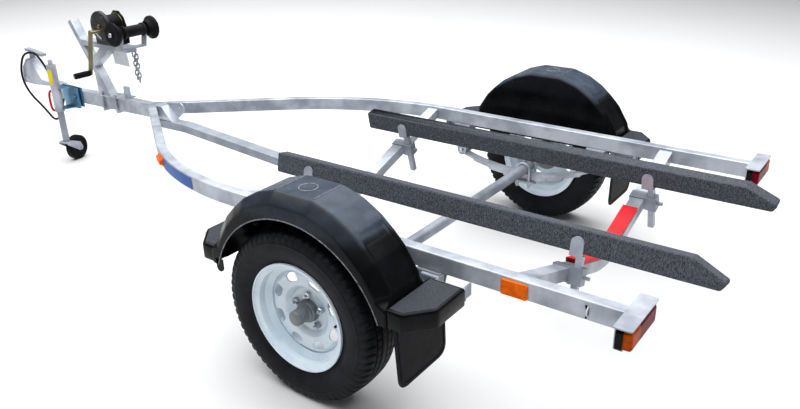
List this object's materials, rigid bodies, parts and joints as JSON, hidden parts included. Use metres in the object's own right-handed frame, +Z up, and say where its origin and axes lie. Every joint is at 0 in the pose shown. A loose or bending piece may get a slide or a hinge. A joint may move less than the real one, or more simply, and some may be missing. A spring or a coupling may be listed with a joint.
{
  "type": "boat trailer",
  "caption": "Single-axle boat trailer with a bent tube frame, leaf springs, carpeted hull bunks, hand winch with bow roller, ball coupling and swing-up jockey wheel.",
  "frame": {"origin": "on the ground, midway along the trailer and midway between the wheels", "axes": "+X forward to the coupling, +Y to the left, +Z up"},
  "size_m": [4.0157, 1.81, 0.8816],
  "materials": {
    "galvanised": "satin",
    "galvanised_dull": "satin",
    "zinc_blue": "satin",
    "zinc_gold": "satin",
    "cast_hub": "satin",
    "white_paint": "gloss",
    "tyre": "matte",
    "black_rubber": "matte",
    "black_plastic": "satin",
    "carpet": "matte",
    "red_plastic": "satin",
    "lens_red": "gloss",
    "lens_amber": "gloss",
    "card": "matte"
  },
  "bodies": {
    "chassis": {"axle": "galvanised_dull", "axle_clamps": "galvanised", "bow_chain": "galvanised_dull", "bunk_left": "carpet", "bunk_right": "carpet", "bunk_stems": "galvanised", "cable": "black_rubber", "centre_beam": "galvanised", "coupling": "galvanised", "coupling_lever": "galvanised_dull", "cross_member_front": "galvanised", "cross_member_rear": "galvanised", "drawbar": "galvanised", "front_markers": "lens_amber", "guard_brackets": "galvanised_dull", "jockey_mount": "zinc_blue", "keel_pad": "red_plastic", "lamp_bases": "black_plastic", "lamp_brackets": "galvanised", "lamp_lenses_amber": "lens_amber", "lamp_lenses_red": "lens_red", "leaf_springs": "galvanised", "mudflaps": "black_rubber", "mudguard_left": "black_plastic", "mudguard_right": "black_plastic", "notice_card": "card", "post_base": "galvanised", "rail_left": "galvanised", "rail_right": "galvanised", "side_reflectors": "lens_amber", "spring_bushes": "red_plastic", "spring_hangers": "galvanised", "stem_clamps": "galvanised_dull", "winch_cover": "black_plastic", "winch_frame": "zinc_gold", "winch_platform": "galvanised", "winch_post": "galvanised"},
    "wheel_left": {"tyre_left": "tyre", "rim_left": "white_paint", "hub_left": "cast_hub"},
    "wheel_right": {"tyre_right": "tyre", "rim_right": "white_paint", "hub_right": "cast_hub"},
    "roller": {"bow_roller": "black_rubber"},
    "drum": {"winch_drum": "zinc_gold"},
    "crank": {"winch_crank": "zinc_gold", "crank_grip": "black_rubber"},
    "jockey_arm": {"jockey_bracket": "zinc_blue", "jockey_tube": "galvanised", "jockey_pull": "red_plastic"},
    "jockey_stem": {"jockey_leg": "galvanised_dull"},
    "jockey_castor": {"jockey_fork": "galvanised"},
    "jockey_roller": {"jockey_wheel": "black_rubber"}
  },
  "joints": [
    {"name": "wheel_left_spin", "type": "hinge", "parent": "chassis", "child": "wheel_left", "pos_m": [-0.928, 0.817, 0.289], "axis": [0, 1, 0], "continuous": true},
    {"name": "wheel_right_spin", "type": "hinge", "parent": "chassis", "child": "wheel_right", "pos_m": [-0.928, -0.817, 0.289], "axis": [0, 1, 0], "continuous": true},
    {"name": "roller_spin", "type": "hinge", "parent": "chassis", "child": "roller", "pos_m": [0.93779, 0, 0.79405], "axis": [0, 1, 0], "continuous": true},
    {"name": "drum_spin", "type": "hinge", "parent": "chassis", "child": "drum", "pos_m": [1.11401, 0, 0.80741], "axis": [0, 1, 0], "continuous": true},
    {"name": "crank_spin", "type": "hinge", "parent": "chassis", "child": "crank", "pos_m": [1.08277, 0.134, 0.79188], "axis": [0, 1, 0], "continuous": true},
    {"name": "jockey_swing", "type": "hinge", "parent": "chassis", "child": "jockey_arm", "pos_m": [1.48566, 0.042, 0.38178], "axis": [0, 1, 0], "range_deg": [0, 90]},
    {"name": "jockey_wind", "type": "slide", "parent": "jockey_arm", "child": "jockey_stem", "axis": [0.015, 0, 0.9999], "range_m": [-0.06, 0.1]},
    {"name": "castor_swivel", "type": "hinge", "parent": "jockey_stem", "child": "jockey_castor", "pos_m": [1.56776, 0.097, 0.12127], "axis": [0.015, 0, 0.9999], "continuous": true},
    {"name": "jockey_wheel_spin", "type": "hinge", "parent": "jockey_castor", "child": "jockey_roller", "pos_m": [1.58543, 0.0326, 0.068], "axis": [-0.9612, -0.2756, 0.0144], "continuous": true}
  ],
  "couplings": [
    {"joint": "crank_spin", "follows": "drum_spin", "ratio": -4.1}
  ]
}
